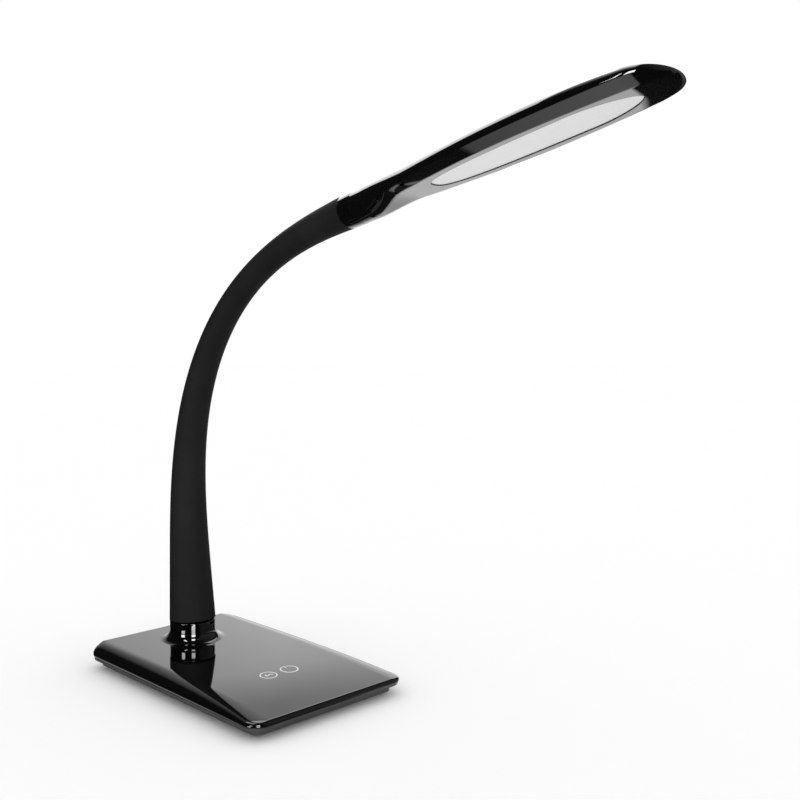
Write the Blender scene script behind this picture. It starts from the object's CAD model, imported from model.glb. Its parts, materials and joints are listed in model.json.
import json
import math
import bmesh
import bpy
import numpy as np
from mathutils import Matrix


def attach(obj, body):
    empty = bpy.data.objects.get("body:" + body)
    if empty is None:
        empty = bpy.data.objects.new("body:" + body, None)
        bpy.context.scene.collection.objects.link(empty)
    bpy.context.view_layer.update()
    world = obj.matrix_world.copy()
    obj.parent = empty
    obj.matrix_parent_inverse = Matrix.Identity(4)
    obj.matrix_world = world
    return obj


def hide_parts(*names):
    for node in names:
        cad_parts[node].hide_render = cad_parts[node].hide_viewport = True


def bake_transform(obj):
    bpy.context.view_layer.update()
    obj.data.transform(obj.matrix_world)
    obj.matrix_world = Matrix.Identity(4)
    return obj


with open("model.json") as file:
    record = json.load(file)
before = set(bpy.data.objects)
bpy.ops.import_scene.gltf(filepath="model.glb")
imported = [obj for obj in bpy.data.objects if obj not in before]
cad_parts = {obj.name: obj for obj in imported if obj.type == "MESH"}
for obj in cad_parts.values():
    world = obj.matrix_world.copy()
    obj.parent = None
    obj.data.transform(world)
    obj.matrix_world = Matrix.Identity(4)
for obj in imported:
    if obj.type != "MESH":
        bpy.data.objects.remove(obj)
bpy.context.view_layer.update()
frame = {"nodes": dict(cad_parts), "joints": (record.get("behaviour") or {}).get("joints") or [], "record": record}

scene = bpy.context.scene
scene.view_settings.view_transform = "Standard"
mm = 0.001
creaseAngle = 32


# 3t^2 - 2t^3 with t kept between 0 and 1
def smooth(t):
    t = np.clip(t, 0, 1)
    return t * t * (3 - 2 * t)


def mix(a, b, t):
    return a + (b - a) * t


# quads between neighbouring rows and columns of a grid whose first point has index start
def gridQuads(rows, cols, wrap=False, start=0):
    i = np.arange(rows - 1)[:, None] * cols
    j = np.arange(cols if wrap else cols - 1)[None, :]
    k = (j + 1) % cols
    corners = np.broadcast_arrays(i + j, i + k, i + cols + k, i + cols + j)
    return (np.stack(corners, -1) + start).reshape(-1, 4)


# one mesh from several grids of points in millimetres, welded where their edges meet
def meshFrom(name, grids, sharp=creaseAngle, weld=2e-7):
    points, quads, start = [], [], 0
    for grid, wrap in grids:
        rows, cols = grid.shape[:2]
        points.append(grid.reshape(-1, 3))
        quads.append(gridQuads(rows, cols, wrap, start))
        start += rows * cols
    mesh = bpy.data.meshes.new(name)
    mesh.from_pydata((np.concatenate(points) * mm).tolist(), [], np.concatenate(quads).tolist())
    bm = bmesh.new()
    bm.from_mesh(mesh)
    bmesh.ops.remove_doubles(bm, verts=bm.verts, dist=weld)
    bmesh.ops.dissolve_degenerate(bm, edges=bm.edges, dist=1e-8)
    bmesh.ops.recalc_face_normals(bm, faces=bm.faces)
    if bm.calc_volume(signed=True) < 0:
        bmesh.ops.reverse_faces(bm, faces=bm.faces)
    bm.to_mesh(mesh)
    bm.free()
    mesh.shade_smooth()
    mesh.set_sharp_from_angle(angle=math.radians(sharp))
    piece = bpy.data.objects.new(name, mesh)
    scene.collection.objects.link(piece)
    return piece


# a profile of (radius, height) turned round a vertical axis at x
def revolve(profile, x, turns=160):
    t = np.linspace(0, 2 * np.pi, turns, endpoint=False)
    r, z = profile[:, 0][:, None], profile[:, 1][:, None]
    return np.stack([x + r * np.cos(t), r * np.sin(t), z + 0 * t], -1)


# cuts a round hole along x through the piece's wall at (x, y, z)
def drill(piece, at, radius, reach):
    hole = revolve(np.array([[0, -reach], [radius, -reach], [radius, reach], [0, reach]]), 0, 64)
    cutter = meshFrom("cutter", [(hole[..., [2, 1, 0]] * [1, 1, -1] + np.array(at), True)])
    cut = piece.modifiers.new("hole", "BOOLEAN")
    cut.operation, cut.solver, cut.object = "DIFFERENCE", "EXACT", cutter
    depsgraph = bpy.context.evaluated_depsgraph_get()
    mesh = bpy.data.meshes.new_from_object(piece.evaluated_get(depsgraph))
    piece.modifiers.clear()
    piece.data = mesh
    bpy.data.objects.remove(cutter)
    mesh.shade_smooth()
    mesh.set_sharp_from_angle(angle=math.radians(creaseAngle))


class Wire:
    def __init__(self, tree, socket):
        self.tree = tree
        self.socket = socket

    def maths(self, operation, *values, clamp=False):
        node = self.tree.nodes.new("ShaderNodeMath")
        node.operation = operation
        node.use_clamp = clamp
        for slot, value in zip(node.inputs, values):
            plug(self.tree, slot, value)
        return Wire(self.tree, node.outputs[0])

    def __add__(self, other): return self.maths("ADD", self, other)
    def __radd__(self, other): return self.maths("ADD", other, self)
    def __sub__(self, other): return self.maths("SUBTRACT", self, other)
    def __rsub__(self, other): return self.maths("SUBTRACT", other, self)
    def __mul__(self, other): return self.maths("MULTIPLY", self, other)
    def __rmul__(self, other): return self.maths("MULTIPLY", other, self)

    # 0 where the value is at low, 1 where it is at high, which may be the smaller one
    def clampedRamp(self, low, high):
        return self.maths("MULTIPLY", self - low, 1 / (high - low), clamp=True)


def plug(tree, slot, value):
    if isinstance(value, Wire):
        tree.links.new(value.socket, slot)
    else:
        slot.default_value = value


class Graph:
    def __init__(self, name):
        self.material = bpy.data.materials.new(name)
        self.material.use_nodes = True
        self.tree = self.material.node_tree
        self.tree.nodes.clear()

    # any node: its type, its settings, then values or wires for its sockets by name
    def add(self, kind, settings=None, sockets=None, out=0):
        node = self.tree.nodes.new("ShaderNode" + kind)
        for key, value in (settings or {}).items():
            setattr(node, key, value)
        for key, value in (sockets or {}).items():
            plug(self.tree, node.inputs[key], value)
        return Wire(self.tree, node.outputs[out])

    def place(self):
        return self.add("TexCoord", out=3)

    def noise(self, scale, detail=3.0, roughness=0.5, at=None):
        return self.add("TexNoise", {"noise_dimensions": "3D"}, {
            "Vector": at or self.place(), "Scale": scale, "Detail": detail, "Roughness": roughness})

    def colour(self, a, b, factor):
        return self.add("Mix", {"data_type": "RGBA"}, {6: a, 7: b, 0: factor}, out=2)

    def bump(self, height, distance, strength=1.0):
        return self.add("Bump", None, {"Height": height, "Distance": distance, "Strength": strength})

    def finish(self, **sockets):
        names = {"color": "Base Color", "roughness": "Roughness", "metallic": "Metallic", "normal": "Normal",
                 "coat": "Coat Weight", "coatRoughness": "Coat Roughness", "specular": "Specular IOR Level"}
        shader = self.add("BsdfPrincipled", None, {names[k]: v for k, v in sockets.items()})
        output = self.tree.nodes.new("ShaderNodeOutputMaterial")
        self.tree.links.new(shader.socket, output.inputs["Surface"])
        return self.material


glossLook = {"color": (0.0019, 0.0019, 0.0021, 1), "roughness": 0.035, "coat": 0.75, "coatRoughness": 0.02,
             "wave": 0.0000012, "haze": 0.02, "speck": (0.016, 0.016, 0.016, 1), "speckScale": 210.0,
             "speckSize": 0.045, "speckFrom": 0.62, "speckTint": 0.6, "speckRoughness": 0.12}
sleeveLook = {"color": (0.0110, 0.0110, 0.0113, 1), "pale": (0.0145, 0.0145, 0.0148, 1), "roughness": 0.62,
              "grain": 0.00006, "specular": 0.08}
panLook = {"color": (0.055, 0.0553, 0.056, 1), "roughness": 0.55, "grain": 0.00004}
diffuserLook = {"color": (0.77, 0.77, 0.77, 1), "pale": (0.74, 0.74, 0.74, 1), "roughness": 0.45}


def glossBlack(name):
    g = Graph(name)
    wave = g.noise(38, 2.0, 0.45)
    haze = g.noise(9, 4.0, 0.6)
    dust = g.add("TexVoronoi", {"feature": "F1"}, {"Vector": g.place(), "Scale": glossLook["speckScale"]})
    speck = (dust.maths("LESS_THAN", dust, glossLook["speckSize"])
             * haze.maths("GREATER_THAN", haze, glossLook["speckFrom"]))
    dulled = haze.clampedRamp(0.45, 0.75) * glossLook["haze"]
    return g.finish(color=g.colour(glossLook["color"], glossLook["speck"], speck * glossLook["speckTint"]),
                    roughness=glossLook["roughness"] + dulled + speck * glossLook["speckRoughness"],
                    coat=glossLook["coat"], coatRoughness=glossLook["coatRoughness"],
                    normal=g.bump(wave, glossLook["wave"]))


# the grain lies in the rest shape, so that it doesn't slide when the neck bends
def softRubber(name, look):
    g = Graph(name)
    at = g.add("Attribute", {"attribute_name": "rest"}, out=1)
    fine = g.noise(2600, 2.0, 0.6, at)
    broad = g.noise(30, 3.0, 0.55, at)
    return g.finish(color=g.colour(look["color"], look["pale"], broad.clampedRamp(0.35, 0.7)),
                    roughness=look["roughness"] + fine * 0.08, specular=look["specular"],
                    normal=g.bump(fine, look["grain"], 0.6))


def mattePlastic(name, color, roughness=0.55, grain=0.00004, scale=1800.0, specular=0.4):
    g = Graph(name)
    fine = g.noise(scale, 2.0, 0.6)
    broad = g.noise(40, 3.0, 0.5)
    lighter = tuple(min(1, c * 1.25 + 0.004) for c in color[:3]) + (1,)
    return g.finish(color=g.colour(color, lighter, broad.clampedRamp(0.4, 0.75)),
                    roughness=roughness + fine * 0.08, specular=specular, normal=g.bump(fine, grain, 0.6))


def metal(name, color, roughness=0.3, grain=0.000015, stretch=(1, 1, 18)):
    g = Graph(name)
    at = g.add("Mapping", None, {"Vector": g.place(), "Scale": stretch})
    brushed = g.noise(420, 3.0, 0.6, at)
    stain = g.noise(60, 3.0, 0.5)
    darker = tuple(c * 0.7 for c in color[:3]) + (1,)
    return g.finish(color=g.colour(color, darker, stain.clampedRamp(0.45, 0.8)), metallic=1.0,
                    roughness=roughness + brushed * 0.16, normal=g.bump(brushed, grain, 0.5))


def circuitBoard(name, color, track):
    g = Graph(name)
    x = g.add("SeparateXYZ", None, {"Vector": g.place()}, out=0)
    y = g.add("SeparateXYZ", None, {"Vector": g.place()}, out=1)
    across, down = x * 2400, y * 900
    lines = across.maths("SINE", across) * down.maths("SINE", down)
    copper = lines.maths("GREATER_THAN", lines, 0.55)
    return g.finish(color=g.colour(color, track, copper * 0.7), roughness=0.38, coat=0.3,
                    normal=g.bump(copper, 0.00003))


def frosted(name):
    g = Graph(name)
    fine = g.noise(1500, 2.0, 0.5)
    soft = g.noise(16, 2.0, 0.5)
    return g.finish(color=g.colour(diffuserLook["color"], diffuserLook["pale"], soft.clampedRamp(0.4, 0.8)),
                    roughness=diffuserLook["roughness"] + fine * 0.1, normal=g.bump(fine, 0.00001, 0.4))


materials = {
    "gloss_black": glossBlack("gloss_black"),
    "sleeve_rubber": softRubber("sleeve_rubber", sleeveLook),
    "pan_plastic": mattePlastic("pan_plastic", panLook["color"], panLook["roughness"], panLook["grain"]),
    "foot_rubber": mattePlastic("foot_rubber", (0.018, 0.018, 0.018, 1), 0.8, 0.0001, 900.0, 0.2),
    "ballast_steel": metal("ballast_steel", (0.30, 0.30, 0.31, 1), 0.42),
    "screw_steel": metal("screw_steel", (0.62, 0.62, 0.63, 1), 0.25),
    "icon_white": mattePlastic("icon_white", (0.74, 0.74, 0.75, 1), 0.4, 0.00001),
    "sheet_fibre": mattePlastic("sheet_fibre", (0.28, 0.03, 0.02, 1), 0.7),
    "board_laminate": circuitBoard("board_laminate", (0.02, 0.12, 0.05, 1), (0.05, 0.2, 0.09, 1)),
    "contact_brass": metal("contact_brass", (0.62, 0.48, 0.20, 1), 0.22),
    "ribbon_grey": mattePlastic("ribbon_grey", (0.50, 0.50, 0.46, 1), 0.45),
    "jack_black": mattePlastic("jack_black", (0.012, 0.012, 0.012, 1), 0.4),
    "connector_nylon": mattePlastic("connector_nylon", (0.70, 0.67, 0.58, 1), 0.5),
    "core_steel": metal("core_steel", (0.40, 0.41, 0.42, 1), 0.28),
    "lead_sheath": mattePlastic("lead_sheath", (0.72, 0.71, 0.68, 1), 0.45),
    "diffuser_white": frosted("diffuser_white"),
    "reflector_white": mattePlastic("reflector_white", (0.88, 0.88, 0.88, 1), 0.5),
    "lamp_board_white": circuitBoard("lamp_board_white", (0.80, 0.80, 0.76, 1), (0.70, 0.66, 0.5, 1)),
    "led_phosphor": mattePlastic("led_phosphor", (0.85, 0.70, 0.15, 1), 0.3),
    "spreader_aluminium": metal("spreader_aluminium", (0.62, 0.63, 0.64, 1), 0.35),
}
slotOf = {s["node"]: s["material_slot"] for s in frame["record"]["subparts"]}
for nodeName, piece in frame["nodes"].items():
    piece.data.materials.clear()
    piece.data.materials.append(materials[slotOf[nodeName]])
print("materials ready")


def dress(piece, slot, body, *nodes):
    piece.data.materials.clear()
    piece.data.materials.append(materials[slot])
    if nodes:
        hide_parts(*nodes)
    if body:
        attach(piece, body)
    return piece


cover = {"length": 190, "width": 120, "corner": 11, "rearHeight": 16.6, "frontHeight": 11.4, "fallPower": 3.5,
         "sideRoll": 13, "edgeRoll": 2.5, "wall": 2, "lip": 8, "tuck": 25,
         "inletRadius": 2.75, "inletZ": 11.2, "inletReach": 5}
collar = {"x": -56.8, "top": 29.9, "radius": 15.6, "flare": 7, "bore": 8.4, "edge": 0.5, "sunk": 1.6}


def topHeight(x):
    t = np.clip((x + cover["length"] / 2) / cover["length"], 0, 1)
    return cover["rearHeight"] - (cover["rearHeight"] - cover["frontHeight"]) * t ** cover["fallPower"]


# closed plan outline, anticlockwise from the near rear corner: x, y and its outward direction
def planOutline(cornerSteps=22, sideSteps=60, endSteps=10):
    r = cover["corner"]
    ex, ey = cover["length"] / 2 - r, cover["width"] / 2 - r
    a = np.radians(np.linspace(180, 270, cornerSteps))
    rear = np.stack([-ex + r * np.cos(a), -ey + r * np.sin(a), np.cos(a), np.sin(a)], 1)
    b = np.radians(np.linspace(270, 360, cornerSteps))
    front = np.stack([ex + r * np.cos(b), -ey + r * np.sin(b), np.cos(b), np.sin(b)], 1)
    x = np.linspace(-ex, ex, sideSteps + 1)[1:-1]
    side = np.stack([x, np.full_like(x, -ey - r), 0 * x, 0 * x - 1], 1)
    near = np.concatenate([rear, side, front])
    far = near[::-1] * [1, -1, 1, -1]
    y = np.linspace(-ey, ey, endSteps + 1)[1:-1]
    frontEnd = np.stack([0 * y + ex + r, y, 0 * y + 1, 0 * y], 1)
    rearEnd = np.stack([0 * y - ex - r, -y, 0 * y - 1, 0 * y], 1)
    return np.concatenate([near, frontEnd, far, rearEnd]), len(near)


# side of the cover: an ellipse arc from the lip, out and up to the top, at depth w inside the outer surface
def coverSide(outline, angles, w):
    t = np.radians(angles)[:, None]
    px, py, nx, ny = outline.T
    x = px - nx * (w + cover["edgeRoll"] * (1 - np.cos(t)))
    y = py - ny * (w + cover["sideRoll"] * (1 - np.cos(t)))
    tuck = math.sin(math.radians(cover["tuck"]))
    lift = (topHeight(x) - w - cover["lip"]) / (1 + tuck)
    return np.stack([x, y, cover["lip"] + lift * (tuck + np.sin(t))], -1)


# the top: every near point of the inner ring joined straight across to its mirror image
def coverTop(ring, nearCount, rows=40):
    near = ring[:nearCount]
    s = np.linspace(-1, 1, rows)[:, None, None]
    return near[None] * [1, 0, 1] + np.array([0, 1, 0]) * np.abs(near[None]) * s


# angles of the side's arc: even as far as split, then ever closer up to the top
def sideAngles(split=60, lower=26, upper=18, power=1.3):
    left = 1 - np.linspace(0, 1, upper + 1)[1:]
    return np.concatenate([np.linspace(-cover["tuck"], split, lower), 90 - (90 - split) * left ** power])


outline, nearCount = planOutline()
angles = sideAngles()
outer = coverSide(outline, angles, 0)
inner = coverSide(outline, angles, cover["wall"])
lip = np.stack([inner[0], outer[0]])
baseCover = meshFrom("baseCover", [(outer, True), (coverTop(outer[-1], nearCount), False),
                                   (inner, True), (coverTop(inner[-1], nearCount), False), (lip, True)])
drill(baseCover, (-cover["length"] / 2, 0, cover["inletZ"]), cover["inletRadius"], cover["inletReach"])
dress(baseCover, "gloss_black", "base", "base_cover")


# collar: a profile turned round its axis; the flare's foot follows the slope of the cover's top
def collarProfile(level, steps=26):
    r, f, top, edge = collar["radius"], collar["flare"], collar["top"], collar["edge"]
    a = np.radians(np.linspace(270, 180, steps))
    flare = np.stack([r + f + f * np.cos(a), level + f + f * np.sin(a)], 1)
    b = np.radians(np.linspace(0, 90, 8))
    rim = np.stack([r - edge + edge * np.cos(b), top - edge + edge * np.sin(b)], 1)
    bottom = level - collar["sunk"]
    inside = [[collar["bore"], top], [collar["bore"], bottom], [r + f, bottom]]
    return np.concatenate([[[r + f, bottom]], flare, rim, inside])


plate = topHeight(np.array([collar["x"]]))[0]
collarGrid = revolve(collarProfile(plate), collar["x"])
lowness = np.clip(1 - (collarGrid[..., 2] - plate) / collar["flare"], 0, 1) ** 2
collarGrid[..., 2] += (topHeight(collarGrid[..., 0]) - plate) * lowness
neckCollar = meshFrom("neckCollar", [(collarGrid, True)])
dress(neckCollar, "gloss_black", "base")


# flat stroke of a given width along a path of (x, y), laid just above the cover's top
def strokeGrids(path, width, centre, closed=False, proud=0.015, sunk=0.15):
    way = np.roll(path, -1, 0) - np.roll(path, 1, 0) if closed else np.gradient(path, axis=0)
    way = way / np.linalg.norm(way, axis=1)[:, None]
    off = np.stack([-way[:, 1], way[:, 0]], 1) * width / 2
    left, right = path + off + centre, path - off + centre

    def lift(p, h):
        return np.concatenate([p, (topHeight(p[:, 0]) + h)[:, None]], 1)

    section = np.stack([lift(left, proud), lift(right, proud), lift(right, -sunk), lift(left, -sunk)], 1)
    if closed:
        return [(np.concatenate([section, section[:1]]), True)]
    caps = [(np.stack([section[k][[0, 1]], section[k][[3, 2]]]), False) for k in (0, -1)]
    return [(section, True)] + caps


# points of a smooth curve through a few given ones
def throughPoints(points, count):
    points = np.array(points, float)
    t = np.linspace(0, len(points) - 1, count)
    k = np.clip(t.astype(int), 0, len(points) - 2)
    padded = np.vstack([2 * points[0] - points[1], points, 2 * points[-1] - points[-2]])
    f = (t - k)[:, None]
    a, b, c, d = (padded[k + i] for i in range(4))
    return 0.5 * (2 * b + (c - a) * f + (2 * a - 5 * b + 4 * c - d) * f ** 2 + (3 * b - a - 3 * c + d) * f ** 3)


mark = {"x": 41, "apart": 16.5, "radius": 6.3, "stroke": 0.8, "powerShare": 0.95, "lightShare": 0.9,
        "powerGap": 2.6, "barLength": 0.48, "wave": [[-0.34, -0.2], [0.12, -0.27], [-0.08, 0.25], [0.2, 0.41]]}
ringRadius = mark["radius"] * mark["powerShare"] - mark["stroke"] / 2
half = math.asin(mark["powerGap"] / 2 / ringRadius)
t = np.linspace(-np.pi + half, np.pi - half, 72)
powerRing = ringRadius * np.stack([np.cos(t), np.sin(t)], 1)
bar = np.stack([np.linspace(-mark["radius"], mark["radius"] * (mark["barLength"] - 1), 8), np.zeros(8)], 1)
at = np.array([mark["x"], mark["apart"] / 2])
powerMark = meshFrom("powerMark", strokeGrids(powerRing, mark["stroke"], at)
                     + strokeGrids(bar, mark["stroke"], at))
dress(powerMark, "icon_white", "base", "power_icon")

t = np.linspace(0, 2 * np.pi, 80, endpoint=False)
ringRadius = mark["radius"] * mark["lightShare"] - mark["stroke"] / 2
lightRing = ringRadius * np.stack([np.cos(t), np.sin(t)], 1)
wave = throughPoints(mark["radius"] * np.array(mark["wave"]), 40)
at = np.array([mark["x"], -mark["apart"] / 2])
brightnessMark = meshFrom("brightnessMark", strokeGrids(lightRing, mark["stroke"], at, True)
                          + strokeGrids(wave, mark["stroke"], at))
dress(brightnessMark, "icon_white", "base", "brightness_icon")
print("base cover ready")


sleeve = {"foot": 15.8, "waist": 8.2, "head": 9.9, "waistAt": 272, "length": 360, "bore": 6.2, "gap": 0.3,
          "footZ": 30.5, "firstRun": 14, "lastRun": 14.5, "headTilt": 11.4, "taper": 1.7, "blendShort": 1.6,
          "ringsPerPiece": 44, "sides": 96}
lead = {"radius": 1.3, "rings": 12, "sides": 20}
joints = frame["joints"]
jointAt = np.array([j["pos_m"] for j in joints]) * 1000
tilt = math.radians(sleeve["headTilt"])
headAt = jointAt[-1] + sleeve["lastRun"] * np.array([math.cos(tilt), 0, math.sin(tilt)])
footAt = np.array([collar["x"], 0, sleeve["footZ"]])
corners = np.vstack([footAt, jointAt, headAt])
runs = np.diff(corners, axis=0)
runLength = np.linalg.norm(runs, axis=1)
runWay = runs / runLength[:, None]
pitch = runLength[1]
jointPath = sleeve["firstRun"] + pitch * np.arange(len(joints))


# outer radius at a distance s along the neck
def sleeveRadius(s):
    left = 1 - np.minimum(s / sleeve["waistAt"], 1)
    low = sleeve["waist"] + (sleeve["foot"] - sleeve["waist"]) * left ** sleeve["taper"]
    rise = np.maximum(s - sleeve["waistAt"], 0) / (sleeve["length"] - sleeve["waistAt"])
    return low + (sleeve["head"] - sleeve["waist"]) * rise ** 2


# arc round joint k, tangent to the runs before and after it: its points, its directions and how far
# each point lies from the joint along the neck
def neckArc(k, before, after, rings):
    d0, d1 = runWay[k], runWay[k + 1]
    turn = math.acos(np.clip(d0 @ d1, -1, 1))
    half = pitch / 2
    side = np.cross([0, 1, 0], d0)
    if turn < 1e-4:
        s = np.linspace(-before, after, rings)
        return jointAt[k] + s[:, None] * d0, np.repeat(d0[None], rings, 0), s
    radius = half / math.tan(turn / 2)
    straight = max(before - half, 0)
    arcLength = radius * turn
    s = np.linspace(-straight, arcLength + max(after - half, 0), rings)
    a = np.clip(s, 0, arcLength) / radius
    start = jointAt[k] - half * d0
    point = start + radius * (np.sin(a)[:, None] * d0 + (1 - np.cos(a))[:, None] * side)
    way = np.cos(a)[:, None] * d0 + np.sin(a)[:, None] * side
    point = point + (s - a * radius)[:, None] * way
    return point, way, s - arcLength / 2


def tube(point, way, radius, sides):
    t = np.linspace(0, 2 * np.pi, sides, endpoint=False)
    side = np.cross([0, 1, 0], way)
    ring = np.cos(t)[None, :, None] * side[:, None, :] + np.sin(t)[None, :, None] * np.array([0, 1, 0])
    return point[:, None, :] + radius[:, None, None] * ring


# keeps each point's place at rest for the rubber's grain
def keepRest(piece):
    at = np.zeros(len(piece.data.vertices) * 3, np.float32)
    piece.data.vertices.foreach_get("co", at)
    rest = piece.data.attributes.new("rest", "FLOAT_VECTOR", "POINT")
    rest.data.foreach_set("vector", at)


# one stretch for each joint, blended between the two bodies that meet there
def neckPieces(name, slot, node, radiusAt, bore, rings, sides, endGap):
    for k in range(len(joints)):
        first, last = k == 0, k == len(joints) - 1
        before = sleeve["firstRun"] if first else pitch / 2
        after = sleeve["lastRun"] - endGap if last else pitch / 2
        point, way, s = neckArc(k, before, after, rings)
        radius = radiusAt(np.clip(jointPath[k] + s, 0, sleeve["length"]))
        skin = tube(point, way, radius, sides)
        grids = [(skin, True)]
        if bore:
            hole = tube(point, way, np.full(rings, bore), sides)
            grids.append((hole, True))
            if first:
                grids.append((np.stack([hole[0], skin[0]]), True))
            if last:
                grids.append((np.stack([skin[-1], hole[-1]]), True))
        piece = meshFrom(f"{name}_{k + 1:02d}", grids, sharp=40)
        keepRest(piece)
        dress(piece, slot, None, node)
        chord = runWay[k] + runWay[k + 1]
        chord = chord / np.linalg.norm(chord)
        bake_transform(piece)


neckPieces("neckSleeve", "sleeve_rubber", "neck_sleeve", sleeveRadius, sleeve["bore"],
           sleeve["ringsPerPiece"], sleeve["sides"], sleeve["gap"])
neckPieces("neckLead", "lead_sheath", "neck_lead", lambda s: 0 * s + lead["radius"], 0,
           lead["rings"], lead["sides"], 0)
print("neck ready")


head = {"length": 210, "halfWidth": 25.7, "root": 10, "leaf": 9.95, "leafFrom": 10, "leafRise": 1.1,
        "widest": 130, "narrowing": 0.0009, "noseFrom": 192, "noseRound": 2.25, "crown": 9.9, "crownRun": 60,
        "crownFrom": 140, "crownFall": 0.00125, "flat": 5.7, "flatRun": 30, "bevel": 7.8, "bevelRun": 60,
        "crease": 0.05, "edgeRear": 3.64, "edgeTip": 2.03, "edgeFrom": 60, "edgeRun": 40, "partStart": 20,
        "partClosed": 88, "partOpen": 84, "partRun": 12, "wall": 1.8, "ledge": 2}
window = {"rear": 66.6, "front": 192.6, "half": 13.4, "mid": 160, "rearPower": 2.95, "frontPower": 1.75}
along = np.array([math.cos(tilt), 0, math.sin(tilt)])
upward = np.array([-math.sin(tilt), 0, math.cos(tilt)])


def onHead(u, y, w):
    return headAt + u[..., None] * along + y[..., None] * np.array([0, 1, 0]) + w[..., None] * upward


def nose(u):
    t = np.clip((u - head["noseFrom"]) / (head["length"] - head["noseFrom"]), 0, 1)
    return np.sqrt(np.maximum(1 - t ** head["noseRound"], 0))


def halfWidth(u):
    t = np.clip((u - head["leafFrom"]) / (head["widest"] - head["leafFrom"]), 0, 1)
    return (head["leaf"] - head["narrowing"] * np.maximum(u - head["widest"], 0) ** 2
            + (head["halfWidth"] - head["leaf"]) * np.sin(np.pi / 2 * t) ** head["leafRise"])


def edgeHeight(u):
    t = np.maximum(u - head["edgeFrom"], 0) / (head["length"] - head["edgeFrom"])
    return -mix(head["edgeRear"], head["edgeTip"], t) * smooth((u - head["partStart"]) / head["edgeRun"])


def crownHeight(u):
    fall = head["crownFall"] * np.maximum(u - head["crownFrom"], 0) ** 2
    return mix(head["leaf"], head["crown"], smooth(u / head["crownRun"])) - fall


def bellyHeight(u):
    return mix(-head["leaf"], -head["flat"], smooth((u - head["partStart"]) / head["flatRun"]))


# sine of the angle at which the bevel meets the flat underside
def bevelShare(u):
    share = np.sqrt(1 - (1 - head["bevel"] / halfWidth(u)) ** 2)
    return mix(1, share, smooth((u - head["partStart"]) / head["flatRun"]))


# angle below the widest line at which the two shells meet
def parting(u):
    opened = head["partOpen"] * np.exp((head["partStart"] - u) / head["partRun"])
    return np.where(u < head["partStart"], head["partClosed"], opened)


# the lesser of s and 1, rounded off where they meet; the rounding dies out where there is no bevel
def creased(s, share):
    k = head["crease"] * np.clip((1 - share) / 0.1, 0, 1) + 1e-6
    h = np.clip(0.5 + 0.5 * (1 - s) / k, 0, 1)
    return mix(1, s, h) - k * h * (1 - h)


# share of the underside's depth where the section's width has shrunk to c: round at the root, a plane
# bevel further on
def bevelDepth(u, c):
    share = bevelShare(u)
    c = np.clip(np.abs(c), 0, 1)
    curved = creased(np.sqrt(1 - c * c) / share, share)
    plane = creased((1 - c) / (1 - np.sqrt(np.maximum(1 - share * share, 0))), share)
    return mix(curved, plane, smooth((u - head["partStart"]) / head["bevelRun"]))


# section at angle a: an ellipse above the widest line, a bevel and a flat below it
def headPoint(u, a, wall=0.0, side=0.0):
    a = np.radians(a)
    rise = crownHeight(u) - edgeHeight(u) - wall
    fall = edgeHeight(u) - bellyHeight(u) - wall
    lift = np.where(np.sin(a) >= 0, rise * np.sin(a), -fall * bevelDepth(u, np.cos(a)))
    return onHead(u * (1 - wall / head["length"]), nose(u) * (halfWidth(u) - side) * np.cos(a),
                  edgeHeight(u) + nose(u) * lift)


def stations(first, count, tipCount):
    root = np.linspace(first, head["noseFrom"], count)
    bow = np.sin(np.radians(np.linspace(0, 90, tipCount)))
    tip = head["noseFrom"] + (head["length"] - head["noseFrom"]) * bow
    return np.concatenate([root, tip[1:]])


# upper shell: closed rings as far as the parting line's start, then arcs down to the parting line
share = np.linspace(0, 1, 121)[None, :]
uOpen = stations(head["partStart"], 170, 40)[:, None]
arcs = -parting(uOpen) + (180 + 2 * parting(uOpen)) * share
outerTop, innerTop = headPoint(uOpen, arcs), headPoint(uOpen, arcs, head["wall"], head["wall"])
uClosed = np.linspace(head["leafFrom"] - 0.1, head["partStart"], 12)[:, None]
turns = np.concatenate([[-90], arcs[0]])[None, :]
outerRoot, innerRoot = headPoint(uClosed, turns), headPoint(uClosed, turns, head["wall"], head["wall"])
headTop = meshFrom("headTop", [
    (outerTop, False), (innerTop, False), (outerRoot, True), (innerRoot, True),
    (np.stack([outerTop[:, 0], innerTop[:, 0]]), False),
    (np.stack([outerTop[:, -1], innerTop[:, -1]]), False),
    (np.stack([outerRoot[0], innerRoot[0]]), True),
    (np.stack([outerRoot[-1][[1, 0, -1]], innerRoot[-1][[1, 0, -1]]]), False)])
dress(headTop, "gloss_black", "head", "head_top_shell")

rootTube = {"length": 10.2, "bore": 6.95, "edge": 0.35, "sides": 128}
corner = np.radians(np.linspace(180, 90, 7))
rootProfile = np.concatenate([
    [[0, rootTube["bore"]]],
    np.stack([rootTube["edge"] * (1 + np.cos(corner)),
              head["root"] - rootTube["edge"] * (1 - np.sin(corner))], 1),
    [[rootTube["length"], head["root"]], [rootTube["length"], rootTube["bore"]], [0, rootTube["bore"]]]])
t = np.linspace(0, 2 * np.pi, rootTube["sides"], endpoint=False)
rootU, rootR = rootProfile[:, 0][:, None], rootProfile[:, 1][:, None]
rootGrid = onHead(rootU + 0 * t, rootR * np.cos(t), rootR * np.sin(t))
headRoot = meshFrom("headRoot", [(rootGrid, True)], sharp=50)
dress(headRoot, "gloss_black", "head")


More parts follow.
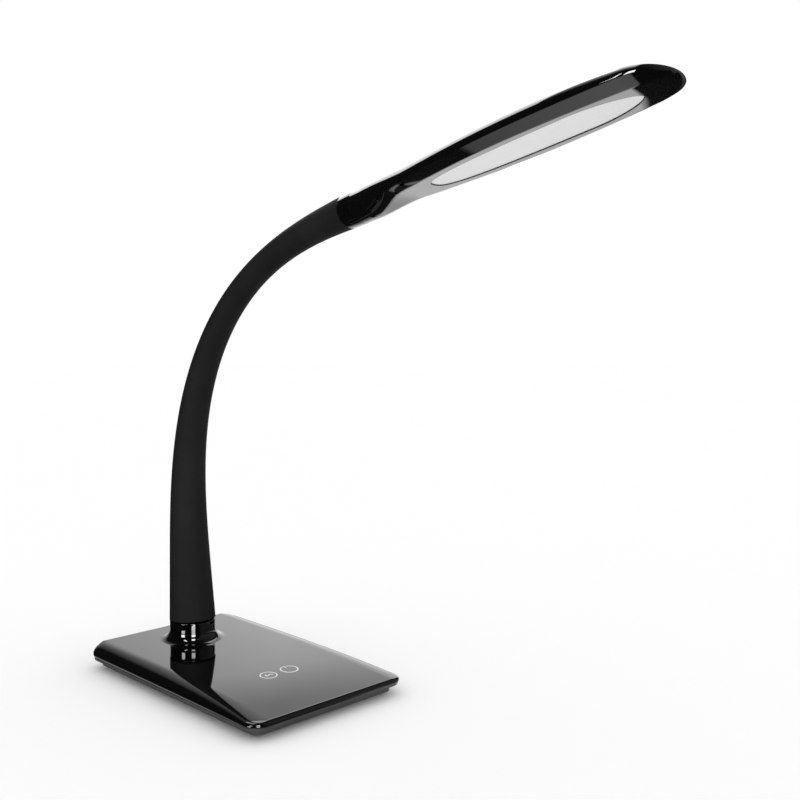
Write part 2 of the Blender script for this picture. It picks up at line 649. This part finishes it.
# leaf outline of the window grown by g, as arc-length-even points from the rear tip to the front tip
def leafHalf(g, count):
    a = np.radians(np.linspace(0, 90, 600))
    mid, half = window["mid"], window["half"] + g

    def quarter(reach, power):
        return np.stack([mid + reach * np.cos(a) ** (2 / power), half * np.sin(a) ** (2 / power)], 1)

    front = quarter(window["front"] - mid + g, window["frontPower"])
    rear = quarter(window["rear"] - mid - g, window["rearPower"])
    line = np.concatenate([rear, front[::-1][1:]])
    s = np.concatenate([[0], np.cumsum(np.hypot(*np.diff(line, axis=0).T))])
    at = np.linspace(0, s[-1], count)
    return np.stack([np.interp(at, s, line[:, 0]), np.interp(at, s, line[:, 1])], 1)


# height of the underside at a distance u and a width y
def underside(u, y):
    reach = np.maximum(nose(u) * halfWidth(u), 1e-6)
    return edgeHeight(u) - nose(u) * (edgeHeight(u) - bellyHeight(u)) * bevelDepth(u, y / reach)


# underside between the window and the parting line: straight lines fan out from the window's edge
# to the bevel's inner edge, then across the bevel
def undersideGrid(count=420, flatRows=14, bevelRows=26):
    v = np.linspace(0, 1, count)
    fan = 0.5 - 0.5 * np.cos(np.pi * v)
    u = mix(head["partStart"] + 0.1, head["length"], 0.35 * fan + 0.65 * v)
    creaseY = nose(u) * halfWidth(u) * np.sqrt(np.maximum(1 - bevelShare(u) ** 2, 0))
    rimY = nose(u) * halfWidth(u) * np.cos(np.radians(parting(u)))
    creaseY = np.minimum(creaseY, rimY)
    leafIn = leafHalf(0, count)
    a = np.linspace(0, 1, flatRows)[:, None]
    flatU = mix(leafIn[:, 0][None], u[None], a)
    flatY = mix(leafIn[:, 1][None], creaseY[None], a)
    b = np.sin(np.pi / 2 * np.linspace(0, 1, bevelRows)[1:])[:, None]
    bevelU = np.repeat(u[None], len(b), 0)
    bevelY = mix(creaseY[None], rimY[None], b)
    return np.concatenate([flatU, bevelU]), np.concatenate([flatY, bevelY])


gu, gy = undersideGrid()
gw = underside(gu, gy)
floorTop = -head["flat"] + head["wall"]
sides = []
for s in (1, -1):
    surface = onHead(gu, s * gy, gw)
    edge = onHead(gu[-1], s * gy[-1], gw[-1])
    ledge = onHead(gu[-1], s * np.maximum(gy[-1] - head["ledge"], 0), np.maximum(gw[-1], floorTop))
    mouth = leafHalf(0, gu.shape[1])
    wallTop = onHead(mouth[:, 0], s * mouth[:, 1], 0 * mouth[:, 0] + floorTop)
    sides += [(surface, False), (np.stack([wallTop, surface[0]]), False), (np.stack([edge, ledge]), False)]
headBottom = meshFrom("headBottom", sides)
dress(headBottom, "gloss_black", "head", "head_bottom_shell")
print("head ready")


panel = {"gap": 0.2, "recess": 0.5, "edge": 0.35, "core": 3.0, "spineEnd": 9}


def leafLoop(g, count=260):
    half = leafHalf(g, count)
    return np.concatenate([half, half[1:-1][::-1] * [1, -1]])


rimOuter, rimInner = leafLoop(-panel["gap"]), leafLoop(-panel["gap"] - panel["edge"])
face = -head["flat"] + panel["recess"]
loops = [(rimOuter, floorTop), (rimOuter, face + panel["edge"] * 0.6), (rimInner, face)]
core = leafLoop(-panel["core"])
spineU = np.clip(core[:, 0], window["rear"] + panel["spineEnd"], window["front"] - panel["spineEnd"])
spine = np.stack([spineU, 0 * spineU], 1)
loops += [(p, face) for p in (mix(rimInner, core, 0.3), core, mix(core, spine, 0.35),
                              mix(core, spine, 0.7), spine)]
panelGrid = np.stack([onHead(p[:, 0], p[:, 1], 0 * p[:, 0] + w) for p, w in loops])
back = np.stack([onHead(rimOuter[:, 0], rimOuter[:, 1], 0 * rimOuter[:, 0] + floorTop),
                 onHead(spine[:, 0], 0 * spine[:, 1], 0 * spine[:, 0] + floorTop)])
lightPanel = meshFrom("lightPanel", [(panelGrid, True), (back[::-1], True)])
dress(lightPanel, "diffuser_white", "head", "diffuser")
print("light panel ready")


floorLook = {"color": (1, 1, 1, 1), "cloud": (0.99, 0.99, 0.99, 1), "size": 14.0}
bpy.ops.mesh.primitive_plane_add(size=floorLook["size"], location=(0, 0, 0))
floor = bpy.context.object
floor.name = "stageFloor"
g = Graph("stage_floor")
cloudy = g.noise(0.8, 2.0, 0.5)
floor.data.materials.append(g.finish(color=g.colour(floorLook["color"], floorLook["cloud"], cloudy),
                                     roughness=0.9, specular=0.0))


# The studio as reflections see it: a dark tent with a white panel and a dim card, a floor that is white in
# front of the panel and dark elsewhere, and upright lights. Only glossy rays meet them, so the light that falls
# on the object stays plain. Pairs are where a ramp is 0 and where it is 1: degrees on the tent, metres on the
# floor.
studio = {"radius": 3.0, "dark": 0.015}
tentLook = {"white": 1.08, "panelFrom": (115.6, 116.4), "panelTo": (178.5, 141), "panelTop": (75, 48),
            "step": (22, 28), "stepTurn": (126, 139), "stepNear": 0.15, "stepFar": 0.23,
            "card": 0.16, "cardFrom": (-6, 14), "cardTo": (104, 84), "cardFoot": (3, 9), "cardTop": (75, 30)}


def reflectedOnly(piece, material):
    piece.data.materials.append(material)
    for kind in ("camera", "diffuse", "shadow", "transmission", "volume_scatter"):
        setattr(piece, "visible_" + kind, False)


def glowing(name, strength):
    g = Graph(name)
    shader = g.add("Emission", None, {"Color": (1, 1, 1, 1), "Strength": strength(g)})
    output = g.tree.nodes.new("ShaderNodeOutputMaterial")
    g.tree.links.new(shader.socket, output.inputs["Surface"])
    return g.material


# radiance by azimuth and elevation of the place on the dome
def tentGlow(g):
    x, y, z = (g.add("SeparateXYZ", None, {"Vector": g.place()}, out=k) for k in range(3))
    azimuth = y.maths("ARCTAN2", y, x) * (180 / math.pi)
    elevation = z.maths("ARCTAN2", z, (x * x + y * y).maths("SQRT", x * x + y * y)) * (180 / math.pi)
    panel = azimuth.clampedRamp(*tentLook["panelFrom"]) * azimuth.clampedRamp(*tentLook["panelTo"])
    darker = tentLook["stepNear"] + azimuth.clampedRamp(*tentLook["stepTurn"]) * tentLook["stepFar"]
    step = elevation.clampedRamp(*tentLook["step"]) * darker
    fade = (1 - step) * elevation.clampedRamp(*tentLook["panelTop"])
    card = azimuth.clampedRamp(*tentLook["cardFrom"]) * azimuth.clampedRamp(*tentLook["cardTo"])
    card = card * elevation.clampedRamp(*tentLook["cardFoot"]) * elevation.clampedRamp(*tentLook["cardTop"])
    return panel * fade * tentLook["white"] + card * tentLook["card"] + studio["dark"]


def domeGrid(radius, rows=24, cols=96):
    e = np.linspace(-0.02, np.pi / 2, rows)[:, None]
    a = np.linspace(0, 2 * np.pi, cols, endpoint=False)[None, :]
    return 1000 * radius * np.stack([np.cos(e) * np.cos(a), np.cos(e) * np.sin(a), np.sin(e) + 0 * a], -1)


tent = meshFrom("stageTent", [(domeGrid(studio["radius"]), True)])
reflectedOnly(tent, glowing("stage_tent", tentGlow))


floorGlowLook = {
    "edgeAt": (0.330, 0.063), "edgeTurn": 119.45, "edgeSoft": (0.006, -0.006), "from": (0.02, 0.055),
    "grey": 0.3, "greyRun": (0.03, 0.22), "greyRise": 0.42, "white": 1.15, "whiteRun": (0.14, 0.36),
    "shade": 0.98, "rimGlow": 0.4,
    "beside": [("x", 0.032, 0.022), ("y", 0.216, 0.206), ("x", -0.112, -0.1)],
    "behind": [("x", -0.1, -0.112), ("y", 0.15, 0.14)],
    "corner": [("x", -0.085, -0.095), ("x", -0.14, -0.13), ("y", 0.2, 0.21), ("y", 0.26, 0.25)],
    "rim": [("x", 0.107, 0.103), ("x", -0.107, -0.103), ("y", 0.068, 0.065), ("y", -0.068, -0.065)]}


# what reflections see of the floor: white in front of the panel, greyer towards the object, dark beside it
def floorGlow(g):
    x, y = (g.add("SeparateXYZ", None, {"Vector": g.place()}, out=k) for k in range(2))
    look, axes = floorGlowLook, {"x": x, "y": y}

    def patch(name):
        return math.prod(axes[axis].clampedRamp(low, high) for axis, low, high in look[name])

    way = math.radians(look["edgeTurn"])
    across = (x - look["edgeAt"][0]) * math.sin(way) - (y - look["edgeAt"][1]) * math.cos(way)
    inside = across.clampedRamp(*look["edgeSoft"]) * y.clampedRamp(*look["from"])
    grey = look["grey"] + x.clampedRamp(*look["greyRun"]) * look["greyRise"]
    bright = grey + (look["white"] - grey) * y.clampedRamp(*look["whiteRun"])
    shaded = (patch("beside") + (patch("behind") + patch("corner"))) * look["shade"]
    return inside * (1 - shaded) * (bright - studio["dark"]) + patch("rim") * look["rimGlow"] + studio["dark"]


size = studio["radius"] * 1500
corners = np.array([[[-size, -size, 0.6], [size, -size, 0.6]], [[-size, size, 0.6], [size, size, 0.6]]])
reflectedOnly(meshFrom("stageFloorGlow", [(corners, False)]), glowing("stage_floor_glow", floorGlow))


# an upright light that turns towards the object's axis, or to a given azimuth
def strip(name, at, width, high, strength, low=0.0, turn=None):
    turn = math.atan2(at[1], at[0]) if turn is None else math.radians(turn)
    side = np.array([-math.sin(turn), math.cos(turn), 0]) * width / 2
    foot = np.array([at[0], at[1], 0])
    grid = 1000 * np.array([[foot - side, foot + side]] * 2) + np.array([[[0, 0, low]], [[0, 0, high]]]) * 1000
    reflectedOnly(meshFrom(name, [(grid, False)]), glowing(name, lambda g: strength))


strips = {
    "stageStripLow": {"at": (0.305, -2.575), "width": 0.78, "high": 1.15, "strength": 14.0, "turn": -82},
    "stageStripFore": {"at": (2.195, -1.30), "width": 0.80, "high": 1.15, "strength": 14.0, "turn": -30},
    "stageStripHigh": {"at": (0.024, -0.575), "width": 0.12, "low": 0.70, "high": 1.35, "strength": 13.0},
    "stageStripNear": {"at": (0.36, -0.24), "width": 0.17, "low": 0.5, "high": 1.0, "strength": 13.0},
    "stageCard": {"at": (-0.25, 0.33), "width": 0.66, "low": 0.40, "high": 0.90, "strength": 2.2, "turn": 0},
}
for stripName, values in strips.items():
    strip(stripName, **values)

world = bpy.data.worlds.new("studio")
scene.world = world
world.use_nodes = True
world.node_tree.nodes["Background"].inputs[0].default_value = (1, 1, 1, 1)
world.node_tree.nodes["Background"].inputs[1].default_value = 1.0


lens = {"at": (0.5365, -0.3832, 0.22646), "turn": 45.25, "down": 3.57, "focal": 45, "sensor": 36}
camera = bpy.data.objects.new("camera", bpy.data.cameras.new("camera"))
camera.data.lens, camera.data.sensor_width = lens["focal"], lens["sensor"]
camera.data.clip_start = 0.01
camera.location = lens["at"]
camera.rotation_euler = (math.radians(90 - lens["down"]), 0, math.radians(lens["turn"]))
scene.collection.objects.link(camera)
scene.camera = camera
print("stage ready")

bpy.context.view_layer.update()
